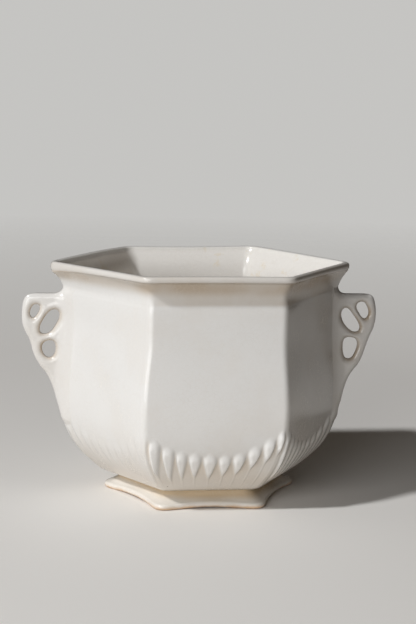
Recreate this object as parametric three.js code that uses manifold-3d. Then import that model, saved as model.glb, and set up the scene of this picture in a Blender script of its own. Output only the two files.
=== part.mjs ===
// Six-sided ironstone vase: a fluted bowl with a rolled rim, two pierced handles and a spreading foot.
// Millimetres, Z up. X runs from handle to handle. The origin is on the table, under the bowl's centre.

import * as THREE from 'three';
import { mergeVertices } from 'three/addons/utils/BufferGeometryUtils.js';
import Module from 'manifold-3d';

// Heights of the zones, one above the other
const footHeight = 9;
const bellyRise = 45;
const shoulderRise = 38;
const upperPanelRise = 17.5;
const rimRise = 14.7;
const rimDip = 1.7;

// Reach from the axis to the four plain corners, and to the two corners that carry the handles
const plainCorner = { seat: 49, belly: 71.4, neck: 66.3, rim: 74.4, overhang: 2.1, flare: 2.4 };
const handleCorner = { seat: 52.5, belly: 75.8, neck: 73.8, rim: 80, overhang: 0.8, flare: 1.25 };

// Wall of the bowl
const bellyRoundness = 2.8;
const arrisRadius = 5;
const wall = 4.6;
const floorThickness = 5.5;
const floorRoundness = 1.6;
const baseEdge = 1.5;
const ledgeDepth = 0.7;
const ledgeHeight = 1;
const mouthDepth = 20;
const mouthRoundness = 2.6;
const lipWidth = 4.2;
const lipHeight = 2.6;

// Flutes round the bottom of the bowl: convex fingers whose tops hang in a swag on each panel
const flutesPerPanel = 10;
const fluteDropFromBelly = 9.4;
const swagDepth = 12;
const fluteRelief = 1.6;
const fluteTipLength = 3.6;
const fluteFade = 5;

// Handles: upright plates, thinner towards the edge and the tail, pierced by three leaning ovals
const handleDropFromNeck = 3.7;
const handleProjection = 21.8;
const handleRootThickness = 8.6;
const handleEdgeThickness = 4.4;
const handleTailThickness = 5.4;
const handleEdgeRound = 1.9;
const handleTailGap = 2;
const handleTailStep = 1.2;
const rootDepth = 7;
const rootFillet = 2.2;
const slipJoint = 0.3;
const piercingEdgeRound = 1.3;
const piercings = [
  { inset: 7.5, drop: 9.1, width: 5.1, length: 9, lean: 24 },
  { inset: 14.8, drop: 15, width: 6.9, length: 15, lean: 31 },
  { inset: 14.5, drop: 29.7, width: 7.6, length: 11.2, lean: 2 },
];

// Foot
const footNeckReach = 44;
const footPlainReach = 51.6;
const footHandleReach = 49.8;
const footLobe = 3.1;
const footLobeSharpness = 3;
const footArris = 9;
const footEdge = 3.2;
const footSweep = 5.4;
const footLift = 0.8;
const footWall = 6;
const footPadWidth = 6;

// Fineness of the mesh
const stepsPerFlute = 4;
const stepsAtArris = 2;
const stepsPerFootSide = 12;
const stepsPerPiercing = 18;

// Six panels meet at six corners, and a panel plane lies closer to the axis than its corners do
const panelCount = 6;
const halfPanel = Math.PI / panelCount;
const cornerToPanel = Math.cos(halfPanel);
const { lerp, smoothstep, degToRad } = THREE.MathUtils;

// Outlines

// Corners of a six-sided outline, counter-clockwise from the right-hand handle
function hexagon(plainReach, handleCornerReach) {
  return Array.from({ length: panelCount }, (_, index) => {
    const reach = index % (panelCount / 2) === 0 ? handleCornerReach : plainReach;
    const angle = index * 2 * halfPanel;
    return new THREE.Vector2(Math.cos(angle), Math.sin(angle)).multiplyScalar(reach);
  });
}

// Point on the curve that rounds a corner off, from the side before it (0) to the side after it (1)
function roundedCorner(corner, before, after, travel, soft) {
  const backwards = before.clone().sub(corner).setLength(soft * (1 - travel) ** 2);
  const onwards = after.clone().sub(corner).setLength(soft * travel ** 2);
  return corner.clone().add(backwards).add(onwards);
}

// Point a fraction of the way along one side of an outline with rounded corners
function outlinePoint(corners, side, fraction, radius) {
  const cornerAt = (index) => corners[(index + panelCount) % panelCount];
  const start = cornerAt(side);
  const end = cornerAt(side + 1);
  const soft = radius * Math.tan(halfPanel);
  const fromStart = fraction * start.distanceTo(end);
  const fromEnd = (1 - fraction) * start.distanceTo(end);
  if (fromStart < soft) {
    return roundedCorner(start, cornerAt(side - 1), end, 0.5 + fromStart / (2 * soft), soft);
  }
  if (fromEnd < soft) {
    return roundedCorner(end, start, cornerAt(side + 2), 0.5 - fromEnd / (2 * soft), soft);
  }
  return start.clone().lerp(end, fraction);
}

// Skins

// A ring is a row of points round the piece, each at a station, a count of steps round the outline
function ring(stations, place) {
  return stations.map((station) => ({ station, point: place(station) }));
}

function pole(x, y, z) {
  return [{ station: 0, point: new THREE.Vector3(x, y, z) }];
}

// Closed surface through rings that follow each other along the outside of a piece
function skin(rings, stationCount, closesOnItself = false) {
  const positions = rings.flat().flatMap(({ point }) => point.toArray());
  const firstVertex = rings.map((_, index) => rings.slice(0, index).flat().length);
  const triangles = [];
  const bandCount = closesOnItself ? rings.length : rings.length - 1;
  for (let band = 0; band < bandCount; band += 1) {
    const below = band;
    const above = (band + 1) % rings.length;
    const vertex = (ringIndex, step) => firstVertex[ringIndex] + (step % rings[ringIndex].length);
    const nextStation = (ringIndex, step) => {
      const row = rings[ringIndex];
      if (row.length === 1 || step >= row.length) return Infinity;
      return step + 1 < row.length ? row[step + 1].station : stationCount;
    };
    let low = 0;
    let high = 0;
    while (Math.min(nextStation(below, low), nextStation(above, high)) < Infinity) {
      if (nextStation(below, low) <= nextStation(above, high)) {
        triangles.push(vertex(below, low), vertex(below, low + 1), vertex(above, high));
        low += 1;
      } else {
        triangles.push(vertex(below, low), vertex(above, high + 1), vertex(above, high));
        high += 1;
      }
    }
  }
  const geometry = new THREE.BufferGeometry();
  geometry.setAttribute('position', new THREE.Float32BufferAttribute(positions, 3));
  geometry.setIndex(triangles);
  geometry.computeVertexNormals();
  return geometry;
}

function steps(count, from, to) {
  return Array.from({ length: count + 1 }, (_, index) => lerp(from, to, index / count));
}

// Bowl

const seatHeight = footHeight;
const bellyHeight = seatHeight + bellyRise;
const shoulderHeight = bellyHeight + shoulderRise;
const neckHeight = shoulderHeight + upperPanelRise;
const rimHeight = neckHeight + rimRise;
const lipBottom = rimHeight - lipHeight;
const lipMiddle = rimHeight - lipHeight / 2;
const floorHeight = seatHeight + floorThickness;
const mouthBottom = rimHeight - mouthDepth;
const fluteBottom = seatHeight + baseEdge;
const fluteTopAtCorner = bellyHeight - fluteDropFromBelly;
const fluteTopAtMiddle = fluteTopAtCorner - swagDepth;
const handleTail = fluteTopAtCorner + handleTailGap;
const panelBottom = (fluteTopAtCorner + handleTail) / 2;

const stepsPerPanel = flutesPerPanel * stepsPerFlute;
const stationCount = panelCount * stepsPerPanel;
const fineStations = Array.from({ length: stationCount }, (_, index) => index);
const panelThirds = [Math.round(stepsPerPanel / 3), Math.round(2 * stepsPerPanel / 3)];
const coarseStations = fineStations.filter((station) => {
  const step = station % stepsPerPanel;
  const atArris = step <= stepsAtArris || step >= stepsPerPanel - stepsAtArris;
  return atArris || panelThirds.includes(step);
});

// Outer reach of a corner: rounded belly, upright panel, a small ledge, then the flare up to the lip
function outerReach(corner, height) {
  const panelReach = corner.neck + ledgeDepth;
  if (height < bellyHeight) {
    const depth = (bellyHeight - height) / (bellyHeight - seatHeight);
    return lerp(corner.belly, corner.seat, depth ** bellyRoundness);
  }
  if (height < shoulderHeight) {
    return lerp(corner.belly, panelReach, smoothstep(height, bellyHeight, shoulderHeight));
  }
  if (height <= neckHeight - ledgeHeight) return panelReach;
  const rise = Math.max(0, height - neckHeight) / (lipBottom - neckHeight);
  return lerp(corner.neck, corner.rim - corner.overhang, rise ** corner.flare);
}

// Reach of the wall's inside, with the thickness kept square to the sloping wall
function wallInside(corner, height) {
  const probe = ledgeHeight / 10;
  const rise = outerReach(corner, height + probe) - outerReach(corner, height - probe);
  const slope = rise / (2 * probe) * cornerToPanel;
  return outerReach(corner, height) - wall / cornerToPanel * Math.hypot(1, slope);
}

// The mouth opens out from the wall to the lip
function innerReach(corner, height) {
  if (height <= mouthBottom) return wallInside(corner, height);
  const rise = (height - mouthBottom) / (lipMiddle - mouthBottom);
  return lerp(wallInside(corner, mouthBottom), corner.rim - lipWidth, rise ** mouthRoundness);
}

// Point of the bowl at a station, for a pair of corner reaches; the rim dips towards the handles
function bowlPoint(station, height, reachOf) {
  const side = Math.floor(station / stepsPerPanel);
  const fraction = (station % stepsPerPanel) / stepsPerPanel;
  const corners = hexagon(reachOf(plainCorner), reachOf(handleCorner));
  const point = outlinePoint(corners, side, fraction, arrisRadius);
  const nearRim = Math.max(0, height - neckHeight) / rimRise;
  const dip = rimDip * nearRim * (point.x / handleCorner.rim) ** 2;
  return new THREE.Vector3(point.x, point.y, height - dip);
}

function outerPoint(station, height, growth = 0) {
  return bowlPoint(station, height, (corner) => outerReach(corner, height) + growth);
}

function innerPoint(station, height) {
  return bowlPoint(station, height, (corner) => innerReach(corner, height));
}

// Height at which the flutes end, a shallow curve hung between the corners of each panel
function swagHeight(station) {
  const fromMiddle = 2 * (station % stepsPerPanel) / stepsPerPanel - 1;
  return lerp(fluteTopAtMiddle, fluteTopAtCorner, fromMiddle ** 2);
}

// A flute is a round-ended finger: half of its relief stands out of the panel and half is sunk between
function flutePoint(station, height) {
  const point = outerPoint(station, height);
  const across = 2 * ((station / stepsPerFlute) % 1) - 1;
  const shortOfTip = Math.max(0, 1 - (swagHeight(station) - height) / fluteTipLength);
  const finger = Math.sqrt(Math.max(0, 1 - across ** 2 - shortOfTip ** 2));
  const fade = smoothstep(height, fluteBottom, fluteBottom + fluteFade);
  const relief = fluteRelief * (finger - (1 - shortOfTip) / 2) * fade;
  const outwards = new THREE.Vector3(point.x, point.y, 0).normalize();
  return point.addScaledVector(outwards, relief);
}

// Point of the rolled lip, round from the outside (angle 0) over the top to the inside
function lipPoint(station, angle) {
  const height = lipMiddle + lipHeight / 2 * Math.sin(angle);
  return bowlPoint(station, height, (corner) => corner.rim - lipWidth / 2 * (1 - Math.cos(angle)));
}

const panelHeights = [
  panelBottom,
  ...steps(5, bellyHeight, shoulderHeight),
  neckHeight - ledgeHeight,
  ...steps(5, neckHeight, lipBottom),
];

function bowlGeometry() {
  const belowTip = (station) => swagHeight(station) - fluteTipLength;
  const aboveTip = (station) => (swagHeight(station) + panelBottom) / 2;
  const fluteRings = steps(5, 0, 1).map((level) => ring(fineStations, (station) => {
    return flutePoint(station, lerp(fluteBottom, belowTip(station), level));
  }));
  const tipRings = [0.5, 0.85, 1].map((level) => ring(fineStations, (station) => {
    return flutePoint(station, lerp(belowTip(station), swagHeight(station), level));
  }));
  const panelRings = panelHeights.map((height) => {
    return ring(coarseStations, (station) => outerPoint(station, height));
  });
  const lipRings = [-30, 0, 45, 90, 135, 180].map((angle) => {
    return ring(coarseStations, (station) => lipPoint(station, degToRad(angle)));
  });
  const mouthHeights = steps(5, lipMiddle, mouthBottom).slice(1);
  const wallHeights = steps(8, 1, 0).slice(1).map((share) => {
    return lerp(floorHeight, mouthBottom, share ** floorRoundness);
  });
  const insideRings = [...mouthHeights, ...wallHeights].map((height) => {
    return ring(coarseStations, (station) => innerPoint(station, height));
  });
  return skin([
    pole(0, 0, seatHeight),
    ring(coarseStations, (station) => bowlPoint(station, seatHeight, (corner) => corner.seat - baseEdge)),
    ...fluteRings,
    ...tipRings,
    ring(coarseStations, (station) => outerPoint(station, aboveTip(station))),
    ...panelRings,
    ...lipRings,
    ...insideRings,
    pole(0, 0, floorHeight),
  ], stationCount);
}

// Foot: a low hollow ring, six-sided, sweeping out to a thin edge that swells into a lobe at each corner

const footStations = Array.from({ length: panelCount * stepsPerFootSide }, (_, index) => index);

// Share of a lobe at a station: 1 at a corner, falling away to 0 along the side
function lobeShare(station) {
  const fraction = (station % stepsPerFootSide) / stepsPerFootSide;
  return ((1 + Math.cos(2 * Math.PI * fraction)) / 2) ** footLobeSharpness;
}

function footOutline(station, corners) {
  const side = Math.floor(station / stepsPerFootSide);
  const fraction = (station % stepsPerFootSide) / stepsPerFootSide;
  return outlinePoint(corners, side, fraction, footArris);
}

function footEdgePoint(station, inset) {
  const point = footOutline(station, hexagon(footPlainReach - inset, footHandleReach - inset));
  return point.setLength(point.length() + footLobe * lobeShare(station));
}

function footNeckPoint(station, reach) {
  return footOutline(station, hexagon(reach, reach));
}

// Between the lobes the edge of the foot arches a little off the table
function archLift(station) {
  const step = station % stepsPerFootSide;
  const fromCorner = Math.min(step, stepsPerFootSide - step) / stepsPerFootSide * footPlainReach;
  return footLift * smoothstep(fromCorner, footPadWidth, footPlainReach / 2);
}

function footGeometry() {
  const innerNeckReach = footNeckReach - footWall;
  const edgeRadius = footEdge / 2;
  const softened = edgeRadius * (1 - Math.SQRT1_2);
  const edgeRing = (inset, height) => ring(footStations, (station) => {
    const { x, y } = footEdgePoint(station, inset);
    return new THREE.Vector3(x, y, height + archLift(station));
  });
  const neckRing = (reach, height) => ring(footStations, (station) => {
    const { x, y } = footNeckPoint(station, reach);
    return new THREE.Vector3(x, y, height);
  });
  const sweep = new THREE.QuadraticBezierCurve(
    new THREE.Vector2(1, footEdge),
    new THREE.Vector2(0, footSweep),
    new THREE.Vector2(0, footHeight),
  );
  const sweepRings = sweep.getPoints(5).map(({ x: spread, y: height }) => ring(footStations, (station) => {
    const neck = footNeckPoint(station, footNeckReach);
    const { x, y } = neck.lerp(footEdgePoint(station, edgeRadius), spread);
    return new THREE.Vector3(x, y, height + spread * archLift(station));
  }));
  return skin([
    edgeRing(edgeRadius, 0),
    edgeRing(softened, softened),
    edgeRing(0, edgeRadius),
    edgeRing(softened, footEdge - softened),
    ...sweepRings,
    neckRing(innerNeckReach, footHeight),
    neckRing(innerNeckReach, footSweep),
    edgeRing(footWall, 0),
  ], footStations.length, true);
}

// Solids

const wasm = await Module();
wasm.setup();

function toSolid(geometry) {
  const bare = geometry.clone();
  bare.deleteAttribute('normal');
  bare.deleteAttribute('uv');
  const merged = mergeVertices(bare);
  const vertProperties = Float32Array.from(merged.getAttribute('position').array);
  const triVerts = Uint32Array.from(merged.getIndex().array);
  return new wasm.Manifold(new wasm.Mesh({ numProp: 3, vertProperties, triVerts }));
}

function toGeometry(solid) {
  const { vertProperties, triVerts } = solid.getMesh();
  const geometry = new THREE.BufferGeometry();
  geometry.setAttribute('position', new THREE.Float32BufferAttribute(vertProperties, 3));
  geometry.setIndex(Array.from(triVerts));
  geometry.computeVertexNormals();
  return geometry;
}

// Handles, each drawn in the upright plane through the axis: reach across, height up

const handleTop = neckHeight - handleDropFromNeck;
const handleHeight = handleTop - handleTail;
const handleWallReach = outerReach(handleCorner, handleTop);
const handleReach = handleWallReach + handleProjection;

// The root is drawn from inside the wall, behind the top and the tail of the handle alike
const handleRootReach = Math.min(handleWallReach, outerReach(handleCorner, handleTail)) - rootDepth;

// Place given by its shares of the handle's projection and height, from the outer top corner
function onHandle(inset, drop) {
  return new THREE.Vector2(handleReach - inset * handleProjection, handleTop - drop * handleHeight);
}

function handleOutline() {
  const fillet = new THREE.QuadraticBezierCurve(
    new THREE.Vector2(handleWallReach, handleTop + rootFillet),
    new THREE.Vector2(handleWallReach, handleTop),
    new THREE.Vector2(handleWallReach + rootFillet, handleTop),
  );
  const shoulderEnd = onHandle(0.03, 0.09);
  const shoulder = new THREE.QuadraticBezierCurve(onHandle(0.24, 0), onHandle(0.055, 0), shoulderEnd);
  const outerEdge = new THREE.SplineCurve([
    shoulderEnd,
    onHandle(0, 0.19),
    onHandle(0.04, 0.29),
    onHandle(0.19, 0.39),
    onHandle(0.29, 0.51),
    onHandle(0.46, 0.625),
    onHandle(0.66, 0.72),
    onHandle(0.8, 0.84),
    new THREE.Vector2(outerReach(handleCorner, handleTail) + handleTailStep, handleTail),
  ]);
  return new THREE.Shape([
    new THREE.Vector2(handleRootReach, handleTail),
    new THREE.Vector2(handleRootReach, handleTop + rootFillet),
    ...fillet.getPoints(3),
    ...shoulder.getPoints(5),
    ...outerEdge.getSpacedPoints(24).slice(1),
  ]);
}

// Thins a plate of the root's thickness in flat flanks, towards its outer edge and towards its tail
function taperFlanks(geometry) {
  const thinningAcross = (handleRootThickness - handleEdgeThickness) / handleProjection;
  const thinningDown = (handleRootThickness - handleTailThickness) / handleHeight;
  const position = geometry.getAttribute('position');
  for (let index = 0; index < position.count; index += 1) {
    const outwards = position.getX(index) - handleWallReach;
    const downwards = handleTop - position.getZ(index);
    const thickness = handleRootThickness - thinningAcross * outwards - thinningDown * downwards;
    position.setY(index, position.getY(index) * thickness / handleRootThickness);
  }
  return geometry;
}

function handlePlate() {
  const plate = new THREE.ExtrudeGeometry(handleOutline(), {
    depth: handleRootThickness - 2 * handleEdgeRound,
    bevelThickness: handleEdgeRound,
    bevelSize: handleEdgeRound,
    bevelOffset: -handleEdgeRound,
    bevelSegments: 3,
  });
  plate.translate(0, 0, handleEdgeRound - handleRootThickness / 2);
  plate.rotateX(Math.PI / 2);
  return taperFlanks(plate);
}

// An oval punch that widens towards both flanks, which leaves the edge of the piercing rounded
function piercingPunch({ inset, drop, width, length, lean }) {
  const centre = new THREE.Vector2(handleReach - inset, handleTop - drop);
  const stations = Array.from({ length: stepsPerPiercing }, (_, index) => index);
  const flank = handleRootThickness / 2;
  const ovalRing = (growth, depth) => ring(stations, (station) => {
    const turn = 2 * Math.PI * station / stepsPerPiercing;
    const across = (width / 2 + growth) * Math.cos(turn);
    const along = (length / 2 + growth) * Math.sin(turn);
    const point = new THREE.Vector2(across, along).rotateAround(new THREE.Vector2(), degToRad(lean));
    return new THREE.Vector3(centre.x + point.x, depth, centre.y + point.y);
  });
  const flareRings = [0, 30, 60, 90].map(degToRad).map((angle) => {
    const growth = piercingEdgeRound * (1 - Math.sin(angle));
    return ovalRing(growth, flank - piercingEdgeRound * (1 - Math.cos(angle)));
  });
  const mirrored = flareRings.map((row) => row.map(({ station, point }) => {
    return { station, point: new THREE.Vector3(point.x, -point.y, point.z) };
  }));
  return taperFlanks(skin([
    pole(centre.x, 2 * flank, centre.y),
    ovalRing(piercingEdgeRound, 2 * flank),
    ...flareRings,
    ...mirrored.reverse(),
    ovalRing(piercingEdgeRound, -2 * flank),
    pole(centre.x, -2 * flank, centre.y),
  ], stepsPerPiercing));
}

// The bowl without its flutes and its hollow, grown by the slip joint, shapes the root of each handle
function bowlBlank() {
  const growth = slipJoint / cornerToPanel;
  const rings = panelHeights.map((height) => {
    return ring(coarseStations, (station) => outerPoint(station, height, growth));
  });
  return skin([pole(0, 0, panelBottom), ...rings, pole(0, 0, lipBottom)], stationCount);
}

function handleGeometry() {
  const punched = piercings.reduce((plate, piercing) => {
    return plate.subtract(toSolid(piercingPunch(piercing)));
  }, toSolid(handlePlate()));
  return toGeometry(punched.subtract(toSolid(bowlBlank())));
}

// Assembly

const creamGlaze = new THREE.MeshStandardMaterial({ color: 0xe9e5dc, roughness: 0.2, metalness: 0 });
const warmGlaze = new THREE.MeshStandardMaterial({ color: 0xe9dfcd, roughness: 0.28, metalness: 0 });

function namedMesh(name, geometry, material) {
  const mesh = new THREE.Mesh(geometry, material);
  mesh.name = name;
  return mesh;
}

const pressedHandle = handleGeometry();
const handleRight = namedMesh('handle_right', pressedHandle, creamGlaze);
const handleLeft = namedMesh('handle_left', pressedHandle.clone(), creamGlaze);
handleLeft.rotation.z = Math.PI;

const group = new THREE.Group();
group.add(
  namedMesh('bowl', bowlGeometry(), creamGlaze),
  namedMesh('foot', footGeometry(), warmGlaze),
  handleRight,
  handleLeft,
);

export default group;
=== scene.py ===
import math

import bpy
import numpy as np
from mathutils import Matrix, Vector
from mathutils.bvhtree import BVHTree


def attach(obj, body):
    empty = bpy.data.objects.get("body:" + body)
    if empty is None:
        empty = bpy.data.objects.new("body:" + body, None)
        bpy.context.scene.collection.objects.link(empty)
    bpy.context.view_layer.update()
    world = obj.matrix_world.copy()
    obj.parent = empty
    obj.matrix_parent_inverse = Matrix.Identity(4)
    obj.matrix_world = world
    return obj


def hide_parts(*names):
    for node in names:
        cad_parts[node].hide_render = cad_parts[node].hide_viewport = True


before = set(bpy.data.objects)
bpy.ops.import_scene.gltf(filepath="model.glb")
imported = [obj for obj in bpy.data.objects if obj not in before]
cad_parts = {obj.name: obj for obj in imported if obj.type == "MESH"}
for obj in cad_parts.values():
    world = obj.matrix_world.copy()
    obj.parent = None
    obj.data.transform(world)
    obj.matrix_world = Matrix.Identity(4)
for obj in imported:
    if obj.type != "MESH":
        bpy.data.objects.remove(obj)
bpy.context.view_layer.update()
bpy.context.scene.view_settings.view_transform = "Standard"

# Foot
# A low hollow ring of white clay that spreads out to a thin edge, with a soft lobe under each corner. It is
# pressed in a mould, luted under the bowl with slip and fired with it. Its clear glaze is warmer than the
# bowl's. Its neck under the bowl is tan, partly glaze gathered there and partly painted shade, which
# reaches lower on the front.

# The pieces' sizes are in millimetres. A turn is counted in panels, from the corner at the right handle.
MM = 0.001
PANELS = 6
HALF_PANEL = math.pi / PANELS

foot_height = 9.0
foot_neck_reach = 44.0
foot_plain_reach = 51.6
foot_handle_reach = 49.8
foot_arris = 9.0
foot_edge = 3.2
foot_sweep = 5.4
foot_wall = 6.0
foot_lift = 0.8
foot_pad_width = 6.0
lobe_swell = 3.1
lobe_sharpness = 3.0
foot_steps = 40
foot_edge_rings = 9
foot_sweep_rings = 12
foot_inner_rings = 7
# Heights of the neck's tan, partly gathered glaze and partly painted shade, and the front panels, where the
# painted shade reaches lower.
foot_pool_and_shade_bottom = 0.6
foot_pool_and_shade_top = 1.5
front_shade_start = (4.05, 4.3)
front_shade_end = (5.6, 5.95)
foot_white = (0.81, 0.785, 0.74)
foot_warm = (0.62, 0.49, 0.33)
foot_low_warmth = 0.1
same_spot = 1e-7


def eased(value, low, high):
    """0 below low and 1 above high, with a smooth rise between."""
    share = np.clip((value - low) / (high - low), 0, 1)
    return share * share * (3 - 2 * share)


def towards(start, end, distance):
    """Points a distance along the way from start to end."""
    way = end - start
    return start + way / np.linalg.norm(way, axis=-1, keepdims=True) * distance[..., None]


def outline_corner(index, plain, handle):
    """A sharp corner of the outline. The first one and the one across from it are the handle corners."""
    reach = np.where(index % (PANELS // 2) == 0, handle, plain)
    turn = index * 2 * HALF_PANEL
    return np.stack([reach * np.cos(turn), reach * np.sin(turn)], axis=-1)


def panelled_outline(station, steps, plain, handle, arris):
    """Points round a six-sided outline with rounded corners, counter-clockwise from the right handle."""
    side, step = np.divmod(station, steps)
    along = step / steps
    before, start, end, after = (outline_corner(side + k, plain, handle) for k in (-1, 0, 1, 2))
    length = np.linalg.norm(end - start, axis=-1)
    soft = arris * math.tan(HALF_PANEL) * np.ones(len(station))
    leaving = 0.5 + along * length / (2 * soft)
    arriving = 0.5 - (1 - along) * length / (2 * soft)
    near_start = towards(start, before, soft * (1 - leaving) ** 2) - start
    near_start += towards(start, end, soft * leaving ** 2)
    near_end = towards(end, start, soft * (1 - arriving) ** 2) - end
    near_end += towards(end, after, soft * arriving ** 2)
    point = start + (end - start) * along[:, None]
    point = np.where((along * length < soft)[:, None], near_start, point)
    return np.where(((1 - along) * length < soft)[:, None], near_end, point)


def pulled_up(name, rings, **marks):
    """A circle pulled up ring by ring. Each ring is then set at its place, in millimetres, and closed."""
    stations = rings.shape[1]
    bpy.ops.object.select_all(action="DESELECT")
    bpy.ops.mesh.primitive_circle_add(vertices=stations, radius=1, fill_type="NOTHING")
    bpy.ops.object.mode_set(mode="EDIT")
    bpy.ops.mesh.select_all(action="SELECT")
    for _ in range(len(rings) - 1):
        bpy.ops.mesh.extrude_edges_move(TRANSFORM_OT_translate={"value": (0, 0, 1)})
    bpy.ops.object.mode_set(mode="OBJECT")
    piece = bpy.context.object
    piece.name = name
    spot = np.array([v.co for v in piece.data.vertices])
    station = np.rint(np.arctan2(spot[:, 1], spot[:, 0]) / (2 * math.pi) * stations).astype(int) % stations
    ring = np.rint(spot[:, 2]).astype(int)
    piece.data.vertices.foreach_set("co", (rings[ring, station] * MM).ravel())
    for mark, values in marks.items():
        piece.data.attributes.new(mark, "FLOAT", "POINT").data.foreach_set("value", values[ring, station])
    bpy.ops.object.mode_set(mode="EDIT")
    bpy.ops.mesh.select_all(action="SELECT")
    bpy.ops.mesh.remove_doubles(threshold=same_spot)
    bpy.ops.mesh.normals_make_consistent(inside=False)
    bpy.ops.object.mode_set(mode="OBJECT")
    bpy.ops.object.shade_smooth()
    return piece


def with_height(outline, height):
    return np.column_stack([outline, height * np.ones(len(outline))])


foot_station = np.arange(PANELS * foot_steps)
foot_fraction = (foot_station % foot_steps) / foot_steps
lobe = ((1 + np.cos(2 * math.pi * foot_fraction)) / 2) ** lobe_sharpness
from_lobe = np.minimum(foot_fraction, 1 - foot_fraction) * foot_plain_reach
arch = foot_lift * eased(from_lobe, foot_pad_width, foot_plain_reach / 2)


def foot_brim(inset):
    outline = panelled_outline(
        foot_station, foot_steps, foot_plain_reach - inset, foot_handle_reach - inset, foot_arris
    )
    reach = np.linalg.norm(outline, axis=1, keepdims=True)
    return outline * (reach + lobe_swell * lobe[:, None]) / reach


def foot_neck(reach):
    return panelled_outline(foot_station, foot_steps, reach, reach, foot_arris)


foot_rings = []
for angle in np.radians(np.linspace(-90, 90, foot_edge_rings)):
    inset = foot_edge / 2 * (1 - math.cos(angle))
    foot_rings.append(with_height(foot_brim(inset), foot_edge / 2 * (1 + math.sin(angle)) + arch))
for travel in np.linspace(0, 1, foot_sweep_rings)[1:]:
    spread = (1 - travel) ** 2
    height = spread * foot_edge + 2 * travel * (1 - travel) * foot_sweep + travel ** 2 * foot_height
    outline = foot_neck(foot_neck_reach) * (1 - spread) + foot_brim(foot_edge / 2) * spread
    foot_rings.append(with_height(outline, height + spread * arch))

# Painted shade: the neck under the bowl is tinted tan, partly as gathered glaze and partly as painted
# shade, lower down on the shaded front.
foot_turn = foot_station / foot_steps
front_shade_share = eased(foot_turn, *front_shade_start) * (1 - eased(foot_turn, *front_shade_end))
foot_pooled = []
for ring in foot_rings:
    low = foot_edge + foot_pool_and_shade_bottom - front_shade_share
    high = foot_height - foot_pool_and_shade_top - front_shade_share
    foot_pooled.append(eased(ring[:, 2], low, high))

inner_neck = foot_neck(foot_neck_reach - foot_wall)
for travel in np.linspace(0, 1, foot_inner_rings):
    foot_rings.append(with_height(inner_neck, foot_height + (foot_sweep - foot_height) * travel))
for travel in np.linspace(0, 1, foot_inner_rings)[1:]:
    outline = inner_neck * (1 - travel) + foot_brim(foot_wall) * travel
    foot_rings.append(with_height(outline, foot_sweep * (1 - travel) + arch * travel))
foot_rings.append(foot_rings[0])
foot_pooled += [np.zeros(len(foot_station))] * (len(foot_rings) - len(foot_pooled))

foot = pulled_up("foot_ring", np.array(foot_rings), pooled=np.array(foot_pooled))
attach(foot, "root")
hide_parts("foot")


class Value:
    """A value in a material. Arithmetic on it adds Math nodes, and node() adds any other kind."""

    def __init__(self, tree, socket=None):
        self.tree = tree
        self.socket = socket

    def node(self, kind, settings=None, output=0, **inputs):
        """A new node's output. Its inputs are given by name, or by number as in0, in1 and so on."""
        made = self.tree.nodes.new("ShaderNode" + kind)
        for key, value in (settings or {}).items():
            setattr(made, key, value)
        for key, value in inputs.items():
            wanted = key.replace("_", " ")
            socket = made.inputs[int(wanted[2:])] if wanted.startswith("in") else made.inputs[wanted]
            if isinstance(value, Value):
                self.tree.links.new(value.socket, socket)
            else:
                socket.default_value = value
        return Value(self.tree, made.outputs[output])

    def also(self, output):
        """Another output of the same node."""
        return Value(self.tree, self.socket.node.outputs[output])

    def maths(self, operation, first, second):
        return self.node("Math", {"operation": operation}, in0=first, in1=second)

    def __add__(self, other):
        return self.maths("ADD", self, other)

    def __radd__(self, other):
        return self.maths("ADD", other, self)

    def __sub__(self, other):
        return self.maths("SUBTRACT", self, other)

    def __rsub__(self, other):
        return self.maths("SUBTRACT", other, self)

    def __mul__(self, other):
        return self.maths("MULTIPLY", self, other)

    def __rmul__(self, other):
        return self.maths("MULTIPLY", other, self)


# Sizes, heights and strengths of the glaze's colours, stains with painted shade, cracks, specks and
# ripples.
warm_heights = (34, 10)
cloud_size = 26
cloud_warm = (0.45, 0.7)
cloud_warmth = 0.1
# The lobes' whiter colour: partly thin glaze over them, partly painted light.
thin_glaze_and_light = (0.9, 0.9, 0.89, 1)
inner_glaze = (0.91, 0.885, 0.845, 1)
grain_size = 1.7
grain_shown = (0.35, 0.65)
grain_strength = 0.06
grain_colour = (0.66, 0.63, 0.58, 1)
blotch_size = 11
blotch_detail = 4
blotch_roughness = 0.65
blotch_shown = (0.6, 0.72)
blotch_strength = 0.3
blotch_colour = (0.80, 0.64, 0.38, 1)
stain_and_shade_shown = (0.35, 0.62)
stain_and_shade_cloudy = 0.3
stain_and_shade_even = 0.6
stain_and_shade_colour = (0.44, 0.31, 0.17, 1)
worn_waver = 2
worn_waver_size = 5
worn_heights = (3.6, 1.2)
worn_strength = 0.8
worn_colour = (0.62, 0.37, 0.17, 1)
craze_stray = 2.4
craze_stray_size = 4
craze_cell = 2.6
craze_line = 0.06
craze_patch_size = 18
craze_patches = (0.4, 0.6)
craze_strength = 0.16
craze_depth = 0.12
craze_colour = (0.48, 0.42, 0.34, 1)
speck_spacing = 11
speck_chance = 0.9
speck_spread = 4
speck_radius = 0.14
speck_heights = (30, 24)
speck_strength = 0.7
speck_depth = 0.5
speck_colour = (0.16, 0.10, 0.06, 1)
dimple_size = 6
swell_size = 22
swell_depth = 2.4
pit_size = 2.4
pit_depth = 0.6
ripple_depth = 0.05 * MM
ripple_strength = 0.8
glaze_roughness = 0.17
cloud_roughness = 0.1
craze_roughness = 0.1
coat_weight = 0.22
coat_roughness = 0.16


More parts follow.
